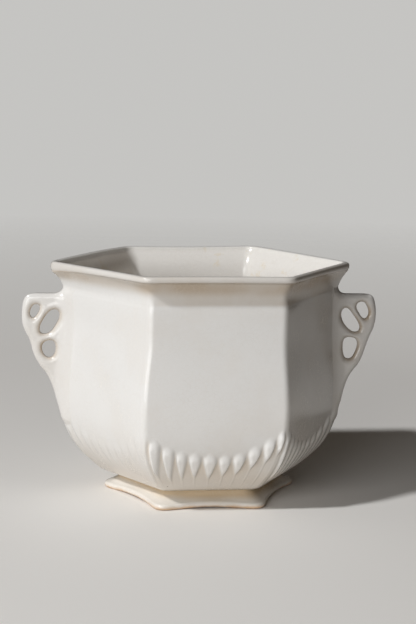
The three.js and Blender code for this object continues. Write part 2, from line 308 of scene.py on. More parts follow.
def glaze(name, white, warm, low_warmth, worn_edge):
    """A clear glaze, finely crazed, over white clay, with a few iron specks. It is warmer where the glaze
    gathers and where painted shade is mixed in, whiter on the flutes' lobes as painted light, and darker
    where stains and painted shade are marked.
    """
    material = bpy.data.materials.new(name)
    material.use_nodes = True
    tree = material.node_tree
    shader = tree.nodes["Principled BSDF"]
    paint = Value(tree)
    metres = paint.node("TexCoord", output=3)
    place = paint.node("VectorMath", {"operation": "SCALE"}, in0=metres, in3=1 / MM)
    height = paint.node("SeparateXYZ", output=2, in0=place)
    # This attribute is warmth where glaze gathers, mixed with painted shade; where it is below zero it is
    # painted light that whitens the flute lobes.
    pooled = paint.node("Attribute", {"attribute_name": "pooled"}, 2)
    inside = paint.node("Attribute", {"attribute_name": "inside"}, 2)
    # This attribute marks real stains together with painted shade under the lip, in its crease, on the
    # shaded inside wall and round the handles' holes.
    stained = paint.node("Attribute", {"attribute_name": "stained"}, 2)

    def between(value, low, high, start=0.0, end=1.0):
        """From start to end, smoothly, as the value goes from low to high."""
        smooth = {"interpolation_type": "SMOOTHSTEP"}
        return paint.node("MapRange", smooth, in0=value, in1=low, in2=high, in3=start, in4=end)

    def noise(size, detail, roughness=0.5):
        return paint.node("TexNoise", Vector=place, Scale=1 / size, Detail=detail, Roughness=roughness)

    def blend(share, first, second):
        return paint.node("Mix", {"data_type": "RGBA"}, 2, in0=share, in6=first, in7=second)

    cloud = noise(cloud_size, 3)
    grain = noise(grain_size, 2)
    # Warmer towards the foot: partly the glaze's own tone, partly painted warm bounce light.
    lower = between(height, *warm_heights)
    warmth = lower * low_warmth + pooled + between(cloud, *cloud_warm) * cloud_warmth
    colour = blend(warmth, (*white, 1), (*warm, 1))
    colour = blend(0 - pooled, colour, thin_glaze_and_light)
    colour = blend(inside, colour, inner_glaze)
    colour = blend(between(grain, *grain_shown) * grain_strength, colour, grain_colour)

    blotch = between(noise(blotch_size, blotch_detail, blotch_roughness), *blotch_shown) * inside
    colour = blend(blotch * blotch_strength, colour, blotch_colour)
    stain = stained * (between(cloud, *stain_and_shade_shown) * stain_and_shade_cloudy + stain_and_shade_even)
    colour = blend(stain, colour, stain_and_shade_colour)
    edge = between(height + noise(worn_waver_size, 2) * worn_waver, *worn_heights) * worn_edge
    colour = blend(edge * worn_strength, colour, worn_colour)

    stray = paint.node("TexNoise", output=1, Vector=place, Scale=1 / craze_stray_size, Detail=1)
    strayed = paint.node(
        "VectorMath", {"operation": "MULTIPLY_ADD"},
        in0=stray, in1=(craze_stray, craze_stray, craze_stray), in2=place,
    )
    crack = paint.node("TexVoronoi", {"feature": "DISTANCE_TO_EDGE"}, Vector=strayed, Scale=1 / craze_cell)
    craze = between(crack, 0.0, craze_line, 1.0, 0.0) * between(noise(craze_patch_size, 2), *craze_patches)
    colour = blend(craze * craze_strength, colour, craze_colour)
    iron = paint.node("TexVoronoi", {"feature": "F1"}, Vector=place, Scale=1 / speck_spacing)
    chance = paint.node("SeparateXYZ", in0=iron.also(1))
    from_speck = iron * speck_spacing - (chance - speck_chance) * speck_spread
    speck = between(from_speck, 0.0, speck_radius, 1.0, 0.0) * between(height, *speck_heights)
    colour = blend(speck * speck_strength, colour, speck_colour)

    ripple = noise(dimple_size, 1) + noise(swell_size, 1) * swell_depth + noise(pit_size, 1) * pit_depth
    ripple = ripple - craze * craze_depth - speck * speck_depth
    bump = paint.node("Bump", Height=ripple, Distance=ripple_depth, Strength=ripple_strength)
    roughness = craze * craze_roughness + cloud * cloud_roughness + glaze_roughness
    tree.links.new(colour.socket, shader.inputs["Base Color"])
    tree.links.new(bump.socket, shader.inputs["Normal"])
    tree.links.new(roughness.socket, shader.inputs["Roughness"])
    shader.inputs["Coat Weight"].default_value = coat_weight
    shader.inputs["Coat Roughness"].default_value = coat_roughness
    return material


foot.data.materials.append(glaze("warm glaze", foot_white, foot_warm, foot_low_warmth, 1))

# Bowl
# The six-sided body, pressed in one piece: flat base, fluted belly, six flat panels, a small ledge, and a
# mouth that flares out to a rolled lip. It is white clay under a clear, finely crazed glaze, warmer towards
# the foot, where the warmth is partly painted warm bounce light. Its colour also holds painted shade: tan
# under the lip and in the flutes' grooves, partly gathered glaze, a dark line in the crease under the lip,
# and a warm tint on the shaded inside wall. The flutes' lobes are whitened as painted light.

foot_to_belly = 45.0
belly_to_shoulder = 38.0
shoulder_to_neck = 17.5
neck_to_rim = 14.7
rim_dip = 1.1
rim_arris = 7.0
left_lip_swell = 2.4
right_lip_swell = 1.2
lip_swell_start = 3.0
lip_swell_sharpness = 4
plain_corner = {"seat": 49.0, "belly": 71.5, "neck": 67.6, "rim": 74.35, "overhang": 2.0, "flare": 2.2}
handle_corner = {"seat": 52.5, "belly": 75.8, "neck": 74.2, "rim": 80.5, "overhang": 0.5, "flare": 1.3}
belly_roundness = 2.8
bowl_arris = 4.4
wall = 4.6
floor_thickness = 5.5
floor_roundness = 1.6
base_edge = 1.5
ledge_depth = 0.25
ledge_height = 2.4
ledge_drop = 1.0
mouth_depth = 20.0
mouth_roundness = 2.6
lip_width = 4.2
lip_height = 3.4
lip_squareness = 0.8
# Painted shade under the lip on the flare, partly glaze gathered there; on the shaded front and right it
# reaches down to the ledge.
under_lip_pool_and_shade = 0.75
lip_stain = 0.3
lip_stain_start = (-1.2, -0.6)
lip_stain_end = (1, 2)
# Painted shade in the crease under the lip, partly glaze gathered there.
crevice_shade = 0.9
crevice_turn = (0.6, 1.2)
inside_turn = (1, 3)
# A warm painted shade on the inside of the shaded left walls.
inside_shade = 0.5
inside_shade_start = (1.95, 2.1)
inside_shade_end = (3.9, 4)
low_flare_shade = 0.4
low_shade_start = (3.98, 4.1)
low_shade_end = (5.9, 6)
low_shade_rise = (-1.5, 0)
high_shade_rise = (2.5, 8)
flutes = 10
flute_steps = 12
flute_swell = 1.1
flute_groove = 0.65
flute_narrowing = 0.9
flute_sinking = 0.85
# The grooves' tan: gathered glaze with painted shade.
flute_pooling_and_shade = 0.6
lobe_whiteness_and_light = 0.8
flute_lean = 0.045
flute_lean_drop = 20
flute_tip = 3.2
flute_fade = 6.0
flute_taper = 1.3
flute_sinking_start = 0.6
tip_fullness = 4
fullness_lost = 2
groove_rise = (-1, 7)
tip_rise = (-1.8, 4)
pool_and_shade_fall = (6, 18)
pool_and_shade_lost = 0.7
lobe_light_rise = (-1, 3)
lobe_light_fall = (10, 22)
strip_blend = 0.03
swag_weights = ((4, 1), (2, 2), (0, 3), (-2, 2), (-4, 1))
panel_bottom = 50.5
flute_edges = {
    "front": (0.04, 0.122, 0.213, 0.302, 0.41, 0.528, 0.635, 0.742, 0.847, 0.938, 1),
    "left": (0, 0.098, 0.196, 0.294, 0.392, 0.49, 0.588, 0.686, 0.784, 0.88, 0.97),
    "other": (0, 0.1, 0.2, 0.3, 0.4, 0.5, 0.6, 0.7, 0.8, 0.9, 1),
}
flute_tops = {
    "front": (40.0, 36.6, 33.9, 32.9, 32.1, 31.7, 32.6, 36.3, 40.4, 44.6),
    "other": (43.4, 39.0, 35.6, 33.3, 32.2, 32.2, 33.3, 35.6, 39.0, 43.4),
}
flute_lengths = {
    "front": (24, 22, 17, 15, 15, 13, 13, 13, 14, 13),
    "left": (15,) * flutes,
    "other": (34,) * flutes,
}
flute_corner_top = 46.0
worn_flutes = 0.85
worn_start = (2.8, 3.2)
worn_end = (3.97, 4.01)
stain_places = (0, 0.5, 2.8, 3.2, 3.8, 4.1, 4.9, 5.1, 6)
stain_and_shade_shares = (1, 0.5, 0.6, 0.9, 0.8, 1, 1, 1.2, 1)
front_side = 4
flute_sides = {front_side - 1: "left", front_side: "front"}
rim_settling = 0.05
left_lean = 1.1
left_rim_lean = 0.7
lean_across = (30, 75)
lean_heights = (92, 106)
rim_lean_heights = (108, 122)
front_depths = (30, 56)
arris_across = (12, 34)
right_arris_lean = 1.1
right_arris_start = (22, 58)
right_arris_end = (106, 114)
left_arris_lean = 1.0
left_arris_start = (16, 40)
left_arris_end = (68, 90)
back_sag = 1.1
sag_middle = -8
sag_reach = 46
sag_depths = (30, 58)
sag_heights = (112, 123)
worn_ledge_end = (2, 8)
worn_ledge_across = (38, 44)
worn_ledge_depths = (-4, 4)
hand_waver = 0.1
hand_waver_start = (2, 16)
hand_waver_end = 6
# Each wave: its shares across and deep, its level and upright lengths, its start, and its strength.
hand_waves = ((1, 0, 17, 23, 0, 1), (0, 1, 19, -27, 2, 1), (1, 1, 11, 13, 4, 0.5))
tips_below = 8
tips_above = 3
ledge_below = 2.5
ledge_above = 0.5
flare_start = 1.2
shoulder_gap = 3
flute_rings = 24
tip_rings = 16
plain_rings = 5
panel_rings = 16
shoulder_rings = 6
ledge_rings = 6
flare_rings = 10
lip_rings = 20
lip_turn = (-80, 180)
mouth_rings = 12
floor_rings = 18
bowl_white = (0.79, 0.785, 0.77)
bowl_warm = (0.68, 0.59, 0.48)
# How much warmer the bowl is towards the foot, partly painted warm bounce light.
bowl_low_warmth = 0.3

seat = foot_height
belly = seat + foot_to_belly
shoulder = belly + belly_to_shoulder
neck = shoulder + shoulder_to_neck
ledge = neck - ledge_drop
rim = neck + neck_to_rim - rim_settling
lip_bottom = rim - lip_height
lip_middle = rim - lip_height / 2
floor_level = seat + floor_thickness
mouth_bottom = rim - mouth_depth
flute_bottom = seat + base_edge
panel_steps = flutes * flute_steps
station = np.arange(PANELS * panel_steps)
panel_side, panel_step = np.divmod(station, panel_steps)
panel_fraction = panel_step / panel_steps


def outer_reach(corner, height):
    panel = corner["neck"] + ledge_depth
    depth = np.clip((belly - height) / (belly - seat), 0, None)
    below = corner["belly"] + (corner["seat"] - corner["belly"]) * depth ** belly_roundness
    between = corner["belly"] + (panel - corner["belly"]) * eased(height, belly, shoulder)
    rise = np.clip((height - neck) / (lip_bottom - neck), 0, None)
    flare = corner["neck"] + (corner["rim"] - corner["overhang"] - corner["neck"]) * rise ** corner["flare"]
    above = panel + (flare - panel) * eased(height, ledge - ledge_height, ledge)
    return np.where(height < belly, below, np.where(height < shoulder, between, above))


def wall_inside(corner, height):
    probe = ledge_height / 10
    slope = (outer_reach(corner, height + probe) - outer_reach(corner, height - probe)) / (2 * probe)
    thickness = wall / math.cos(HALF_PANEL) * np.hypot(1, slope * math.cos(HALF_PANEL))
    return outer_reach(corner, height) - thickness


def inner_reach(corner, height):
    rise = np.clip((height - mouth_bottom) / (lip_middle - mouth_bottom), 0, None)
    inside = wall_inside(corner, np.minimum(height, mouth_bottom))
    return inside + (corner["rim"] - lip_width - inside) * rise ** mouth_roundness


def by_hand(ring):
    """The ring as made by hand: the left leans out, the back rim sags, and the flat faces waver."""
    across, deep, height = ring.T
    lean = left_lean * eased(height, *lean_heights) + left_rim_lean * eased(height, *rim_lean_heights)
    left = eased(-across, *lean_across) * lean
    front = eased(-deep, *front_depths)
    right = right_arris_lean * eased(across, *arris_across) * front
    right *= eased(height, *right_arris_start) * (1 - eased(height, *right_arris_end))
    arris = left_arris_lean * eased(-across, *arris_across) * front
    left += arris * eased(height, *left_arris_start) * (1 - eased(height, *left_arris_end))
    sag = back_sag * np.clip(1 - ((across - sag_middle) / sag_reach) ** 2, 0, 1)
    sag *= eased(deep, *sag_depths) * eased(height, *sag_heights)
    waver = 0
    for wide, long, level_wave, upright_wave, start, strength in hand_waves:
        wave = (across * wide + deep * long) / level_wave + height / upright_wave + start
        waver = waver + np.sin(wave) * strength
    waver *= hand_waver * eased(height - seat, *hand_waver_start)
    waver *= 1 - eased(height, lip_bottom - hand_waver_end, lip_bottom)
    worn_ledge = eased(height, ledge - ledge_height, ledge) * (1 - eased(height - neck, *worn_ledge_end))
    worn_ledge *= ledge_depth * eased(across, *worn_ledge_across) * (1 - eased(deep, *worn_ledge_depths))
    waver += worn_ledge
    reach = np.maximum(np.hypot(across, deep), 1)
    moved = across + waver * across / reach + right - left
    return np.column_stack([moved, deep + waver * deep / reach, height - sag])


def bowl_ring(height, reach_of, swollen=0.0):
    """A ring of the bowl. Where swollen is 1, it drops towards the handles, so the lip is thicker there."""
    height = height * np.ones(len(station))
    near_rim = eased(height, neck, rim)
    arris = bowl_arris + (rim_arris - bowl_arris) * near_rim
    outline = panelled_outline(station, panel_steps, reach_of(plain_corner), reach_of(handle_corner), arris)
    towards_handle = (outline[:, 0] / handle_corner["rim"]) ** 2
    lip_swell = np.where(outline[:, 0] < 0, left_lip_swell, right_lip_swell)
    lip_swell = lip_swell * towards_handle ** lip_swell_sharpness
    return with_height(outline, height - rim_dip * near_rim * towards_handle - lip_swell * swollen)


def outer_ring(height):
    swollen = eased(height, neck + lip_swell_start, lip_bottom)
    return bowl_ring(height, lambda corner: outer_reach(corner, height), swollen)


def inner_ring(height):
    return bowl_ring(height, lambda corner: inner_reach(corner, height))


panel_turn = panel_side + panel_fraction
flute_depth = 1 - worn_flutes * eased(panel_turn, *worn_start) * (1 - eased(panel_turn, *worn_end))
leaning = flute_lean * (panel_side == front_side) * np.clip(1 - 2 * panel_fraction, 0, 1)


def flutes_at(fraction):
    """Five rows: place across a flute (-1 to 1), its tip, its length, the fluted strip, the swag."""
    found = np.zeros((5, len(station)))
    for side in range(PANELS):
        here = panel_side == side
        kind = flute_sides.get(side, "other")
        edges = np.array(flute_edges[kind])
        tops = np.array(flute_tops["front" if kind == "front" else "other"])
        middles = (edges[1:] + edges[:-1]) / 2
        inner = np.clip(fraction[here], edges[0], edges[-1])
        flute = np.clip(np.searchsorted(edges, inner, side="right") - 1, 0, flutes - 1)
        found[0, here] = (inner - middles[flute]) / (edges[flute + 1] - edges[flute]) * 2
        found[1, here] = tops[flute]
        found[2, here] = np.array(flute_lengths[kind])[flute]
        found[3, here] = 1 - eased(np.abs(fraction[here] - inner), 0, strip_blend)
        found[4, here] = np.interp(inner, [0, *middles, 1], [flute_corner_top, *tops, flute_corner_top])
    return found


swag = flutes_at(panel_fraction)[4]
swag = sum(weight * np.roll(swag, shift) for shift, weight in swag_weights)
swag = swag / sum(weight for _, weight in swag_weights)

# The share of stain and painted shade on each side of the bowl, highest on the shaded front right.
stain_and_shade_share = np.interp(panel_turn, stain_places, stain_and_shade_shares)
low_shade = low_flare_shade * eased(panel_turn, *low_shade_start) * (1 - eased(panel_turn, *low_shade_end))
# Painted shade: the shaded left inside walls are tinted darker and warmer.
left_inside_shade = inside_shade * eased(panel_turn, *inside_shade_start)
left_inside_shade *= 1 - eased(panel_turn, *inside_shade_end)


def fluted_ring(height):
    """Flutes with full round tips, which narrow to a point downwards between grooves that widen."""
    ring = outer_ring(height)
    below_swag = swag - height
    leant = panel_fraction + leaning * np.clip(below_swag / flute_lean_drop, 0, 1)
    across, top, length, fluted_strip, _ = flutes_at(leant)
    below_tip = top - flute_tip * across ** 2 - height
    fade = eased(height, flute_bottom, flute_bottom + flute_fade)
    taper = np.clip(below_tip / length, 0, 1)
    half_width = 1 - flute_narrowing * taper ** flute_taper
    fullness = tip_fullness - fullness_lost * taper
    lobe = eased(1 - (np.abs(across) / half_width) ** fullness, 0, 1)
    lobe *= 1 - flute_sinking * eased(taper, flute_sinking_start, 1)
    groove = eased(below_swag, *groove_rise) * fade * fluted_strip * (1 - lobe)
    swell = flute_swell * eased(below_tip, *tip_rise) * fade
    reach = np.linalg.norm(ring[:, :2], axis=1)
    ring[:, :2] *= ((reach + (swell * lobe - flute_groove * groove) * flute_depth) / reach)[:, None]
    # Tan in the flutes' grooves: glaze gathered there, with painted shade.
    pooled = groove * flute_pooling_and_shade * (1 - pool_and_shade_lost * eased(below_swag, *pool_and_shade_fall))
    # Painted light: the flutes' lobes below their tips are whitened, partly as thin glaze and partly as
    # painted light.
    raised_and_lit = lobe * eased(below_tip, *lobe_light_rise) * (1 - eased(below_tip, *lobe_light_fall)) * fade
    return ring, (pooled - raised_and_lit * lobe_whiteness_and_light) * flute_depth ** 2


def marked(ring, pooled=0.0, inside=0.0, stained=0.0):
    """The ring as made by hand, with three more columns, which its glaze reads."""
    every = np.ones(len(station))
    return np.column_stack([by_hand(ring), pooled * every, inside * every, stained * stain_and_shade_share])


def centre(height):
    return np.tile([0.0, 0.0, height], (len(station), 1))


bowl_rings = [marked(centre(seat)), marked(bowl_ring(seat, lambda corner: corner["seat"] - base_edge))]
for level in np.linspace(0, 1, flute_rings):
    bowl_rings.append(marked(*fluted_ring(flute_bottom + (swag - tips_below - flute_bottom) * level)))
for level in np.linspace(-tips_below, tips_above, tip_rings)[1:]:
    bowl_rings.append(marked(*fluted_ring(swag + level)))
for level in np.linspace(0, 1, plain_rings)[1:]:
    bowl_rings.append(marked(outer_ring(swag + tips_above + (panel_bottom - swag - tips_above) * level)))
for height in np.linspace(panel_bottom, shoulder, panel_rings)[1:]:
    bowl_rings.append(marked(outer_ring(height)))
for height in np.linspace(shoulder, neck - shoulder_gap, shoulder_rings)[1:]:
    bowl_rings.append(marked(outer_ring(height)))

ledge_heights = neck + np.linspace(-ledge_below, ledge_above, ledge_rings)
flare_heights = np.linspace(neck + flare_start, lip_bottom, flare_rings)
# Painted shade under the lip, partly gathered glaze, lower down on the shaded front and right sides.
for height in np.concatenate([ledge_heights, flare_heights]):
    stained = low_shade * eased(height - neck, *low_shade_rise)
    stained += (1 - low_shade) * eased(height - neck, *high_shade_rise)
    bowl_rings.append(marked(outer_ring(height), stained=under_lip_pool_and_shade * stained))


def lip_reach(corner, inset, under):
    """The reach of the lip. Under it, where under is 1, the inset is no more than the corner's overhang."""
    return corner["rim"] - min(inset, corner["overhang"]) * under - inset * (1 - under)


for angle in np.radians(np.linspace(*lip_turn, lip_rings)):
    rise = math.copysign(abs(math.sin(angle)) ** lip_squareness, angle)
    spread = math.copysign(abs(math.cos(angle)) ** lip_squareness, math.cos(angle))
    height = lip_middle + lip_height / 2 * rise
    inset = lip_width / 2 * (1 - spread)
    under = max(-math.sin(angle), 0)
    swollen = (1 - math.sin(angle)) / 2 if angle < math.pi / 2 else 0
    lip = bowl_ring(height, lambda corner: lip_reach(corner, inset, under), swollen)
    # Painted shade in the crease under the lip, partly gathered glaze; the lip's own tan follows.
    stained = crevice_shade * eased(-angle, *crevice_turn)
    stained += lip_stain * eased(angle, *lip_stain_start) * (1 - eased(angle, *lip_stain_end))
    bowl_rings.append(marked(lip, 0, eased(angle, *inside_turn), stained))

for height in np.linspace(lip_middle, mouth_bottom, mouth_rings)[1:]:
    bowl_rings.append(marked(inner_ring(height), 0, 1, left_inside_shade))
for share in np.linspace(1, 0, floor_rings)[1:]:
    height = floor_level + (mouth_bottom - floor_level) * share ** floor_roundness
    bowl_rings.append(marked(inner_ring(height), 0, 1, left_inside_shade))
bowl_rings.append(marked(centre(floor_level), 0, 1))
bowl_rings = np.array(bowl_rings)
pooled, inside, stained = np.moveaxis(bowl_rings[..., 3:], -1, 0)

bowl = pulled_up("bowl_body", bowl_rings[..., :3], pooled=pooled, inside=inside, stained=stained)
bowl.data.materials.append(glaze("cream glaze", bowl_white, bowl_warm, bowl_low_warmth, 0))
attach(bowl, "root")
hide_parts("bowl")

# Handles
# Two upright plates of the same clay, each cut through by three leaning holes. Each is luted to a corner of
# the bowl while damp, its joint is filled with slip, and all its edges are sponged round before glazing.

handle_root_thickness = 8.6
handle_edge_thickness = 4.4
handle_tail_thickness = 5.4
handle_projection = 21.8
handle_top = 106.0
handle_tail = 39.0
handle_wall = float(outer_reach(handle_corner, handle_top))
root_heights = np.array([handle_tail, 50.0, 60.0, 72.0, 84.0, 96.0, handle_top])
root_depth = 3.5
root_run_in = 12
curve_spans = 6
sponge_allowance = 0.15
skirt_width = 14.0
skirt_bottom = 35.0
skirt_top = 113.0
skirt_thickness = 2.4
clay_grain = 0.45
sponge_strokes = 16
edge_round = 2.4
edge_blunt = 0.12
rib_hollow = 0.15
rib_edges = (1.2, 3.6)
rib_start = (1, 5)
slip_reach = 5.0
slip_passes = 3
slip_move = 1
slip_strokes = 10
slip_dip = 0.05
slip_feather = 0.35
least_way = 0.3
# A warm painted shade over the whole of both handles.
handle_warm_shade = 0.1
# Each stain round a hole, with painted shade: its width, its strength, and how much stronger it is on its
# shaded side, where the extra is painted shade.
hole_stain_and_shade = ((1.3, 0.5, 0.45), (3.2, 0.22, 0.16))
stained_side = (0.9, -0.45)

left_edge = (
    (84.0, 106.0), (89.6, 106.0), (93.2, 105.1), (95.0, 102.7), (95.85, 98.8), (96.05, 94.2), (95.6, 89.2),
    (94.0, 85.2), (92.3, 81.9), (91.1, 78.4), (90.3, 75.0), (88.7, 71.0), (86.3, 67.0), (83.5, 63.6),
    (81.4, 59.9), (79.8, 56.0), (78.4, 51.8), (77.1, 47.8), (75.6, 44.2), (73.6, 39.0),
)
left_holes = (
    ((88.3, 100.3), (90.2, 99.9), (91.4, 98.0), (92.1, 95.6), (91.6, 93.5), (90.1, 92.6), (88.6, 93.9),
     (87.2, 96.1), (86.5, 98.5), (86.9, 99.9)),
    ((79.0, 97.7), (81.2, 96.9), (83.3, 94.8), (85.2, 91.8), (86.7, 88.6), (86.9, 86.0), (85.6, 84.3),
     (82.9, 84.3), (80.4, 85.9), (78.8, 88.2), (77.4, 90.6), (76.1, 93.1), (76.2, 95.9), (77.3, 97.2)),
    ((80.9, 81.0), (83.2, 80.6), (85.1, 79.2), (85.8, 76.9), (85.2, 74.3), (83.6, 72.0), (81.4, 71.3),
     (79.5, 72.4), (78.4, 74.7), (78.2, 77.5), (79.0, 80.0)),
)
right_edge = (
    (84.0, 105.7), (89.0, 105.6), (92.0, 105.1), (93.6, 103.0), (94.5, 99.6), (95.0, 95.6), (94.8, 91.0),
    (93.8, 86.8), (92.1, 82.9), (90.6, 78.8), (89.3, 74.6), (87.9, 70.7), (86.0, 66.9), (83.4, 63.7),
    (81.1, 60.1), (79.5, 56.2), (78.2, 52.0), (77.0, 47.6), (75.5, 44.0), (73.6, 39.0),
)
right_holes = (
    ((86.9, 101.7), (85.1, 101.2), (83.9, 99.5), (84.2, 97.5), (85.4, 95.5), (86.6, 93.6), (87.9, 92.3),
     (89.4, 91.9), (90.7, 93.1), (91.3, 95.2), (90.8, 97.6), (89.8, 99.7), (88.5, 101.3)),
    ((78.4, 98.3), (76.4, 97.8), (75.2, 95.9), (75.2, 93.4), (76.6, 90.5), (78.8, 87.8), (81.2, 85.6),
     (84.0, 84.5), (86.1, 85.3), (86.6, 87.5), (85.5, 90.3), (83.7, 93.0), (81.8, 95.5), (80.2, 97.4)),
    ((80.4, 82.2), (78.4, 81.7), (77.1, 79.7), (76.9, 76.6), (77.3, 73.5), (78.4, 70.8), (80.7, 69.7),
     (82.9, 70.6), (84.3, 73.2), (85.4, 76.3), (85.5, 79.0), (84.1, 81.3)),
)


def curve_through(points, closed=True):
    """Points on a smooth curve through the given ones."""
    points = np.array(points)
    if not closed:
        points = np.vstack([2 * points[0] - points[1], points, 2 * points[-1] - points[-2]])
    count = len(points)
    drawn = []
    for index in range(count if closed else count - 3):
        first, second, third, fourth = (points[(index + k) % count] for k in range(4))
        for share in np.arange(curve_spans) / curve_spans:
            drawn.append(0.5 * (
                2 * second + (third - first) * share
                + (2 * first - 5 * second + 4 * third - fourth) * share ** 2
                + (3 * second - first - 3 * third + fourth) * share ** 3
            ))
    if not closed:
        drawn.append(points[-2])
    return np.array(drawn)


def grown(outline, growth):
    """The outline moved outwards by growth, or inwards where it is negative."""
    along = np.roll(outline, -1, axis=0) - np.roll(outline, 1, axis=0)
    outwards = np.column_stack([along[:, 1], -along[:, 0]])
    outwards /= np.linalg.norm(outwards, axis=1, keepdims=True)
    onward = np.roll(outline, -1, axis=0)
    turning = np.sum(outline[:, 0] * onward[:, 1] - onward[:, 0] * outline[:, 1])
    return outline + outwards * growth * np.sign(turning)


def cut_slab(name, outline, thickness, hand):
    """A slab of clay, whose outline gives reach and height, standing in the plane of the handles."""
    bpy.ops.object.select_all(action="DESELECT")
    bpy.ops.mesh.primitive_circle_add(vertices=len(outline), radius=1, fill_type="NGON")
    slab = bpy.context.object
    slab.name = name
    front = np.full(len(outline), -thickness / 2)
    spot = np.column_stack([hand * outline[:, 0], front, outline[:, 1]]) * MM
    slab.data.vertices.foreach_set("co", spot.ravel())
    bpy.ops.object.mode_set(mode="EDIT")
    bpy.ops.mesh.select_all(action="SELECT")
    bpy.ops.mesh.extrude_region_move(TRANSFORM_OT_translate={"value": (0, thickness * MM, 0)})
    bpy.ops.mesh.select_all(action="SELECT")
    bpy.ops.mesh.normals_make_consistent(inside=False)
    bpy.ops.object.mode_set(mode="OBJECT")
    return slab


def apply_modifier(piece, kind, **settings):
    bpy.context.view_layer.objects.active = piece
    modifier = piece.modifiers.new(kind.lower(), kind)
    for key, value in settings.items():
        setattr(modifier, key, value)
    bpy.ops.object.modifier_apply(modifier=modifier.name)


def positions(piece):
    return np.array([v.co for v in piece.data.vertices]) / MM


def set_positions(piece, spot):
    piece.data.vertices.foreach_set("co", (spot * MM).ravel())
    piece.data.update()


def stands_out(tree, spot):
    """How far each point stands out of a surface, and the way out."""
    out = np.zeros(len(spot))
    way = np.zeros((len(spot), 3))
    for index, point in enumerate(spot):
        near, normal, _, _ = tree.find_nearest(Vector(point) * MM)
        out[index] = (Vector(point) * MM - near).dot(normal) / MM
        way[index] = normal
    return out, way


def near_curve(spot, curve):
    """Distance from each point to the curve in the handle's plane, and the nearest point of the curve."""
    flat = np.column_stack([np.abs(spot[:, 0]), spot[:, 2]])
    apart = np.linalg.norm(flat[:, None, :] - curve[None, :, :], axis=2)
    nearest = apart.argmin(axis=1)
    return apart[np.arange(len(flat)), nearest], curve[nearest]


def plate_of_clay(name, hand, edge, holes):
    """The plate with its holes. It thins outwards and downwards, and all edges but its root are rounded."""
    root = np.column_stack([outer_reach(handle_corner, root_heights) - root_depth, root_heights])
    edge = curve_through(edge, closed=False)
    outline = grown(np.vstack([root, [[edge[0][0] - 1, edge[0][1]]], edge]), sponge_allowance)
    outline[:len(root)] = root
    outline[len(root) - 1, 1] = edge[0][1] + sponge_allowance
    plate = cut_slab(name, outline, handle_root_thickness, hand)
    rims = [edge]
    for hole in holes:
        rims.append(curve_through(hole))
        punch = cut_slab("punch", grown(rims[-1], -sponge_allowance), 3 * handle_root_thickness, hand)
        apply_modifier(plate, "BOOLEAN", object=punch, operation="DIFFERENCE", solver="EXACT")
        bpy.data.objects.remove(punch)
    apply_modifier(plate, "REMESH", mode="VOXEL", voxel_size=clay_grain * MM)
    spot = positions(plate)
    reach = np.abs(spot[:, 0])
    across = (handle_root_thickness - handle_edge_thickness) * (reach - handle_wall) / handle_projection
    down = (handle_root_thickness - handle_tail_thickness) * (handle_top - spot[:, 2])
    down /= handle_top - handle_tail
    top_run = np.linspace(handle_wall, edge[0][0], root_run_in)
    top_edge = np.column_stack([top_run, np.full(root_run_in, edge[0][1])])
    from_rim = np.min([near_curve(spot, rim)[0] for rim in rims + [top_edge]], axis=0)
    rounded = np.sqrt(1 - (1 - np.clip(from_rim / edge_round, edge_blunt, 1)) ** 2)
    hollow = 1 - rib_hollow * eased(from_rim, *rib_edges) * eased(reach - handle_wall, *rib_start)
    spot[:, 1] *= (handle_root_thickness - across - down) / handle_root_thickness * hollow * rounded
    set_positions(plate, spot)
    apply_modifier(plate, "SMOOTH", factor=0.5, iterations=sponge_strokes)
    return plate, rims


def skirt_of_slip(hand):
    """A copy of the bowl's wall round the handle, on which the slip in the joint is drawn out."""
    bpy.ops.object.select_all(action="DESELECT")
    bowl.select_set(True)
    bpy.context.view_layer.objects.active = bowl
    bpy.ops.object.duplicate()
    skirt = bpy.context.object
    spot = positions(skirt)
    middle = np.array([spot[list(face.vertices)].mean(axis=0) for face in skirt.data.polygons])
    facing = np.array([face.normal for face in skirt.data.polygons])
    keep = (np.abs(middle[:, 1]) < skirt_width) & (middle[:, 0] * hand > 0) & (facing[:, 0] * hand > 0)
    keep &= (middle[:, 2] > skirt_bottom) & (middle[:, 2] < skirt_top)
    bpy.ops.object.mode_set(mode="EDIT")
    bpy.ops.mesh.select_mode(type="FACE")
    bpy.ops.mesh.select_all(action="DESELECT")
    bpy.ops.object.mode_set(mode="OBJECT")
    skirt.data.polygons.foreach_set("select", ~keep)
    bpy.ops.object.mode_set(mode="EDIT")
    bpy.ops.mesh.delete(type="FACE")
    bpy.ops.mesh.select_mode(type="VERT")
    bpy.ops.object.mode_set(mode="OBJECT")
    apply_modifier(skirt, "SOLIDIFY", thickness=skirt_thickness * MM, offset=-1)
    return skirt


bowl_tree = BVHTree.FromObject(bowl, bpy.context.evaluated_depsgraph_get())


